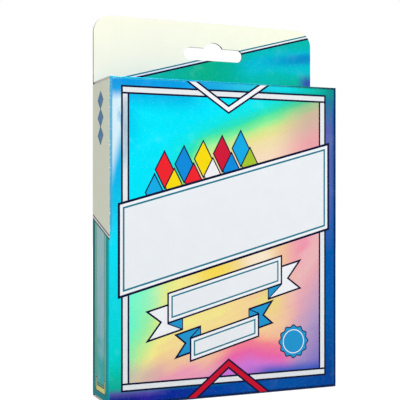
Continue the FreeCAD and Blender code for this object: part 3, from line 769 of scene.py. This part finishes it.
# The teal side foil is painted darker than the front's foil, partly as painted shade on the side turned
# from the lamp.
side_foil = foil("foil_teal_side", side_drift_and_shade, rim=SIDE_RIM)
band_foil = foil("foil_green_band", band_drift, rim=SIDE_RIM)
pale_foil = foil("foil_pale_side", pale_drift)
stripe_bands = [(0.0, side_foil), (0.62, navy_ink), (1.34, white_ink), (1.9, navy_ink),
                (ABOVE_ALL, cream_ink)]
panel_outline = [(-PANEL_HALF, PANEL_FOOT), (PANEL_HALF, PANEL_FOOT),
                 (PANEL_HALF, PANEL_TOP + SIDE_RISE * PANEL_HALF),
                 (-PANEL_HALF, PANEL_TOP - SIDE_RISE * PANEL_HALF)]
panel_bands = [(1.9, band_foil), (0.4, olive_ink), (0, pale_foil)]
bracket = [(-BRACKET_OUTER, BRACKET_HIGH), (-BRACKET_OUTER, BRACKET_LOW),
           (BRACKET_OUTER, BRACKET_LOW), (BRACKET_OUTER, BRACKET_HIGH),
           (BRACKET_INNER, BRACKET_HIGH), (BRACKET_INNER, BRACKET_BAR),
           (-BRACKET_INNER, BRACKET_BAR), (-BRACKET_INNER, BRACKET_HIGH)]
side_shapes = [(panel_outline, panel_bands, PANEL_COAT, (2,)),
               (bracket, [(0.44, navy_ink), (0, gold_ink)], BRACKET_COAT, ())]
for up in (98.6, 105.2, 111.8):
    diamond = [(-DIAMOND, up), (0, up - DIAMOND), (DIAMOND, up), (0, up + DIAMOND)]
    side_shapes.append((diamond, [(0.4, navy_ink), (0, side_blue)], DIAMOND_COAT, ()))
sides = (("left_side_board", "left_side_panel", -1), ("right_side_board", "right_side_panel", 1))
for name, node, across in sides:
    outward = Vector((across, 0, 0))
    seen = facing(Vector((0, across, 0)), outward)
    side = upright_board(name, node, seen, HALF_DEPTH - CREASE_RADIUS, HALF_WIDTH,
                         (side_foil, board_inside))
    split_by_stripe(side, seen, outward, SIDE_RISE, SIDE_STRIPE, stripe_bands, board_inside)
    printed(name.replace("board", "inks"), side_shapes, seen, HALF_WIDTH - INK_ROOM)


# Back panel and hang tab: the back runs on upwards past the lid, and the board folded forward over the
# tab's top is glued down as a second ply. The hanging slot is punched through both. The print is cream,
# with foil below a slanting stripe.
BACKWARD = Vector((0, 1, 0))
TAB_RISE = 0.2662
TAB_STRIPE = 129.86


def printed_copy(name, node, body):
    """A panel whose CAD shape stands as it is, as a mesh of its own for the print to cut."""
    piece = bpy.data.objects.new(name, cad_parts[node].data.copy())
    bpy.context.scene.collection.objects.link(piece)
    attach(piece, body)
    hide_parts(node)
    return piece


def tab_drift(tree, place, x, y, z):
    """Tab foil: teal to emerald on the left, then cyan streaks on a slight slant, a blue one at the right
    edge, and violet in the lower corner."""
    streaked = stretched(tree, place, 5.0, 1.0, 1.0)
    wander = calc(tree, "MULTIPLY_ADD", grain(tree, streaked, 5 * MM, 3), 0.4, -0.2)
    left = colour_run(
        tree, slope(tree, x, -32 * MM, 14 * MM),
        (0.05, colour(16, 172, 170)), (0.4, colour(4, 172, 152)), (0.7, colour(2, 172, 134)),
        (1.0, colour(0, 176, 160)))
    lift = calc(tree, "MULTIPLY_ADD", x, -0.12, z)
    right = colour_run(
        tree, calc(tree, "ADD", slope(tree, lift, 117 * MM, 138 * MM), wander),
        (0.06, colour(4, 176, 150)), (0.18, colour(2, 184, 170)), (0.35, colour(4, 190, 204)),
        (0.6, colour(2, 184, 210)), (0.76, colour(1, 184, 182)), (0.97, colour(2, 182, 168)))
    along = calc(tree, "MULTIPLY_ADD", wander, 12 * MM, x)
    shine = mix_colours(tree, ease(tree, along, 9 * MM, 23 * MM), left, right)
    lift = calc(tree, "MULTIPLY_ADD", wander, 6 * MM, lift)
    streak = both(tree, ease(tree, lift, 125 * MM, 128 * MM), ease(tree, lift, 131.5 * MM, 129 * MM))
    streak = both(tree, streak, ease(tree, x, 18 * MM, 46 * MM, 0.0, 0.85))
    shine = mix_colours(tree, streak, shine, colour(4, 132, 196))
    corner = both(tree, ease(tree, x, 40 * MM, 45.6 * MM), ease(tree, z, 128.6 * MM, 123.8 * MM))
    return mix_colours(tree, corner, shine, colour(52, 86, 176))


tab_foil = foil("foil_teal_tab", tab_drift)
# Bare board of the cut edges: the board's grey core, painted darker still as painted shade on the thin
# edges.
cut_edge = bare_board("cut_edge", colour(98, 95, 88), colour(76, 72, 66))
# The tab's cream is a brighter, warmer copy of the cream ink on the sides and back: painted light that
# offsets the blue light the foil lid throws up on the tab.
tab_cream = ink("tab_cream_ink", colour(250, 249, 228), 0.46)
tab_bands = [(0.0, tab_foil), (0.76, navy_ink), (1.34, white_ink), (1.9, teal_ink), (ABOVE_ALL, tab_cream)]
tab_ply = printed_copy("tab_front_ply", "hang_tab_ply", "carton")
split_by_stripe(tab_ply, SEEN_FROM_FRONT, FORWARD, TAB_RISE, TAB_STRIPE, tab_bands, cut_edge)


def back_drift(tree, place, x, y, z):
    """Back foil: broad slanting bands of teal, emerald and blue."""
    lean = calc(tree, "MULTIPLY_ADD", x, 0.6, z)
    wander = calc(tree, "MULTIPLY_ADD", grain(tree, place, 20 * MM, 3), 0.3, -0.15)
    return colour_run(
        tree, calc(tree, "ADD", slope(tree, lean, -30 * MM, 80 * MM), wander),
        (0.05, colour(2, 168, 176)), (0.3, colour(2, 172, 140)), (0.5, colour(0, 184, 190)),
        (0.7, colour(2, 158, 212)), (0.95, colour(60, 96, 178)))


SEEN_FROM_BACK = facing(Vector((-1, 0, 0)), BACKWARD)
BACK_RISE = 0.3
BACK_STRIPE = SIDE_STRIPE - SIDE_RISE * HALF_DEPTH / MM - BACK_RISE * HALF_WIDTH / MM
back_foil = foil("foil_teal_back", back_drift)
back_bands = [(0.0, back_foil)] + stripe_bands[1:]
back_board = printed_copy("back_board", "back_panel", "carton")
split_by_stripe(back_board, SEEN_FROM_BACK, BACKWARD, BACK_RISE, BACK_STRIPE, back_bands, cut_edge)


# Glue flap: the strip of board that closes the carton's seam, glued inside the rear right corner.
# Bare and uncoated, like the inside of the carton.
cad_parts["glue_flap"].material_slots[0].material = board_inside


# Lids: the top and bottom closures, each creased to the front panel, whose print runs on over the fold.
# Foil and the chevron's two arms outside, bare board inside.
LID_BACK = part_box("top_lid")[1].y / MM
LID_INK = 0.03 * MM
LID_TURNED_OUT = 0.3
CHEVRON_SLOPE = 0.667
ARM_START = -FRONT / MM + 0.3
ARM_END = LID_BACK - 0.4
ARM_REACH = (ARM_END - ARM_START) / CHEVRON_SLOPE
for end, outward, arm_ink in (("top", UP, white_ink), ("bottom", -UP, red_ink)):
    lid = printed_copy(end + "_lid_board", end + "_lid", end + "_lid")
    lid.data.materials.clear()
    lid.data.materials.append(foil_margin)
    lid.data.materials.append(board_inside)
    for polygon in lid.data.polygons:
        turned_out = max(polygon.normal.dot(outward), -polygon.normal.y) > LID_TURNED_OUT
        polygon.material_index = 0 if turned_out else 1
    lid_face = LID_TOP if end == "top" else 0.0
    for vertex in lid.data.vertices:
        if abs(vertex.co.z - lid_face) < LID_INK:
            vertex.co.z = lid_face - LID_INK * outward.z
    seen = facing(RIGHT * outward.z, outward, BACKWARD)
    arms = []
    for way in (-1, 1):
        arm = [(way * CHEVRON_INNER, ARM_START), (way * CHEVRON_OUTER, ARM_START),
               (way * (CHEVRON_OUTER + ARM_REACH), ARM_END), (way * (CHEVRON_INNER + ARM_REACH), ARM_END)]
        arms.append((arm[::way], [(LINE, navy_ink), (0, arm_ink)], LID_INK / MM, (0, 2)))
    printed(end + "_lid_chevron", arms, seen, lid_face * outward.z - LID_INK, end + "_lid")


# Tuck tongues and dust flaps: the tongues slide down behind the lids, and the flaps fold in below them.
# Bare uncoated board, a shade brighter than the inside of the carton.
flap_board = bare_board("flap_board", colour(238, 236, 228), colour(216, 212, 202))
for end in ("top", "bottom"):
    for flap in ("_tongue", "_left_dust_flap", "_right_dust_flap"):
        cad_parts[end + flap].material_slots[0].material = flap_board


# Rules leaflet: one sheet of thin paper folded to the size of the carton, standing in front of the cards.
# Uncoated white paper, put in loose.
leaflet_paper = bare_board("leaflet_paper", colour(246, 246, 243), colour(232, 232, 229))
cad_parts["rules_leaflet"].material_slots[0].material = leaflet_paper


# Cards: eight sets of thirteen, loose in two stacks. Coated card stock printed on both faces inside a white
# border, with the white core showing along the cut edges.
STACKS_MIDDLE = 56.95 * MM
STACK_LIFT = 28 * MM
FIELD_ACROSS = 40.2 * MM
FIELD_UP = 24.7 * MM
FIELD_EDGE = 0.1 * MM


def card_stock(name, tone):
    """Card stock whose faces are printed in one tone inside a white border."""
    finish, tree, shader, place, (x, _, z) = new_finish(name)
    turned = tree.nodes.new("ShaderNodeSeparateXYZ")
    tree.links.new(place.node.outputs["Normal"], turned.inputs[0])
    face = ease(tree, calc(tree, "ABSOLUTE", turned.outputs[1]), 0.5, 0.8)
    across = calc(tree, "ABSOLUTE", x)
    across = ease(tree, across, FIELD_ACROSS, FIELD_ACROSS + FIELD_EDGE, 1.0, 0.0)
    height = calc(tree, "ABSOLUTE", calc(tree, "SUBTRACT", z, STACKS_MIDDLE))
    height = calc(tree, "ABSOLUTE", calc(tree, "SUBTRACT", height, STACK_LIFT))
    height = ease(tree, height, FIELD_UP, FIELD_UP + FIELD_EDGE, 1.0, 0.0)
    field = both(tree, face, both(tree, across, height))
    core = grain(tree, place, 0.25 * MM, 4)
    stock = mix_colours(tree, ease(tree, core, 0.35, 0.65), colour(222, 221, 216), colour(244, 244, 240))
    wire(tree, mix_colours(tree, field, stock, tone), shader.inputs["Base Color"])
    wire(tree, calc(tree, "MULTIPLY_ADD", face, -0.4, calc(tree, "MULTIPLY_ADD", core, 0.2, 0.68)),
         shader.inputs["Roughness"])
    relief(tree, shader, core, 0.006 * MM, 0.4)
    return finish


card_colours = {
    "sky": colour(16, 168, 226), "red": colour(234, 34, 44), "blue": colour(8, 136, 216),
    "yellow": colour(244, 217, 10), "crimson": colour(204, 22, 54), "white": colour(238, 238, 240),
    "green": colour(162, 193, 46), "orange": colour(240, 130, 30)}
for name, tone in card_colours.items():
    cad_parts["card_set_" + name].material_slots[0].material = card_stock("card_stock_" + name, tone)


# Studio: a plain white floor that keeps the carton's soft shadow, even light all round, a broad lamp in
# front and a weaker one behind, and the camera a little to the left at half the carton's height.
FLOOR_REACH = 6.0
FLOOR_DROP = 0.0002
WHITE = (1.0, 1.0, 1.0, 1.0)
LAMP_SIZE = 0.6
LAMP_AIM = Vector((0, 0, 0.07))


def seen_by_eye_and_gloss(tree):
    """Share of rays straight from the eye, and of those that gloss or glass has sent on from there."""
    path = tree.nodes.new("ShaderNodeLightPath").outputs
    gloss = calc(tree, "MAXIMUM", path["Is Glossy Ray"], path["Is Transmission Ray"])
    gloss = both(tree, gloss, calc(tree, "LESS_THAN", path["Diffuse Depth"], 0.5))
    return path["Is Camera Ray"], gloss


def choose(tree, share, first, second):
    node = tree.nodes.new("ShaderNodeMixShader")
    for value, socket in zip((share, first, second), node.inputs):
        tree.links.new(value, socket)
    return node.outputs[0]


floor_finish = bpy.data.materials.new("studio_floor")
floor_finish.use_nodes = True
tree = floor_finish.node_tree
tree.nodes.remove(tree.nodes["Principled BSDF"])
paper = tree.nodes.new("ShaderNodeBsdfDiffuse")
paper.inputs["Color"].default_value = (0.7, 0.7, 0.7, 1.0)
glow = tree.nodes.new("ShaderNodeEmission")
glow.inputs["Strength"].default_value = 0.72
lit_paper = tree.nodes.new("ShaderNodeAddShader")
tree.links.new(paper.outputs[0], lit_paper.inputs[0])
tree.links.new(glow.outputs[0], lit_paper.inputs[1])
mirrored = tree.nodes.new("ShaderNodeEmission")
eye, gloss = seen_by_eye_and_gloss(tree)
shown = choose(tree, eye, paper.outputs[0], lit_paper.outputs[0])
shown = choose(tree, gloss, shown, mirrored.outputs[0])
underside = tree.nodes.new("ShaderNodeNewGeometry").outputs["Backfacing"]
shown = choose(tree, underside, shown, tree.nodes.new("ShaderNodeBsdfTransparent").outputs[0])
tree.links.new(shown, tree.nodes["Material Output"].inputs["Surface"])
floor_mesh = bpy.data.meshes.new("studio_floor")
floor_corners = box_outline(-FLOOR_REACH, -FLOOR_REACH, FLOOR_REACH, FLOOR_REACH)
floor_mesh.from_pydata([(x, y, 0) for x, y in floor_corners], [], [(0, 1, 2, 3)])
floor_mesh.materials.append(floor_finish)
floor = bpy.data.objects.new("studio_floor", floor_mesh)
floor.location.z = -FLOOR_DROP
bpy.context.scene.collection.objects.link(floor)

world = bpy.data.worlds.new("studio")
bpy.context.scene.world = world
world.use_nodes = True
tree = world.node_tree
ambient = tree.nodes["Background"]
ambient.inputs["Color"].default_value = WHITE
ambient.inputs["Strength"].default_value = 0.48
white = tree.nodes.new("ShaderNodeBackground")
white.inputs["Color"].default_value = WHITE
white.inputs["Strength"].default_value = 1.0
eye, gloss = seen_by_eye_and_gloss(tree)
shown = choose(tree, calc(tree, "MAXIMUM", eye, gloss), ambient.outputs[0], white.outputs[0])
tree.links.new(shown, tree.nodes["World Output"].inputs["Surface"])

lamps = (("front_lamp", 6.9, (0.02, -0.74, 0.78)), ("back_lamp", 3.6, (0.25, 0.85, 0.6)))
for name, energy, place in lamps:
    lamp_data = bpy.data.lights.new(name, "AREA")
    lamp_data.size = LAMP_SIZE
    lamp_data.energy = energy
    lamp = bpy.data.objects.new(name, lamp_data)
    lamp.location = place
    lamp.rotation_euler = (LAMP_AIM - lamp.location).to_track_quat("-Z", "Y").to_euler()
    bpy.context.scene.collection.objects.link(lamp)

camera_data = bpy.data.cameras.new("camera")
camera_data.lens = 82.73
camera_data.sensor_width = 36.0
camera_data.clip_start = 0.01
camera = bpy.data.objects.new("camera", camera_data)
camera.location = (-0.14636, -0.32899, 0.07468)
camera.rotation_euler = Vector((0.38927, 0.92112, 0.0)).to_track_quat("-Z", "Y").to_euler()
bpy.context.scene.collection.objects.link(camera)
bpy.context.scene.camera = camera
bpy.context.scene.view_settings.view_transform = "Standard"
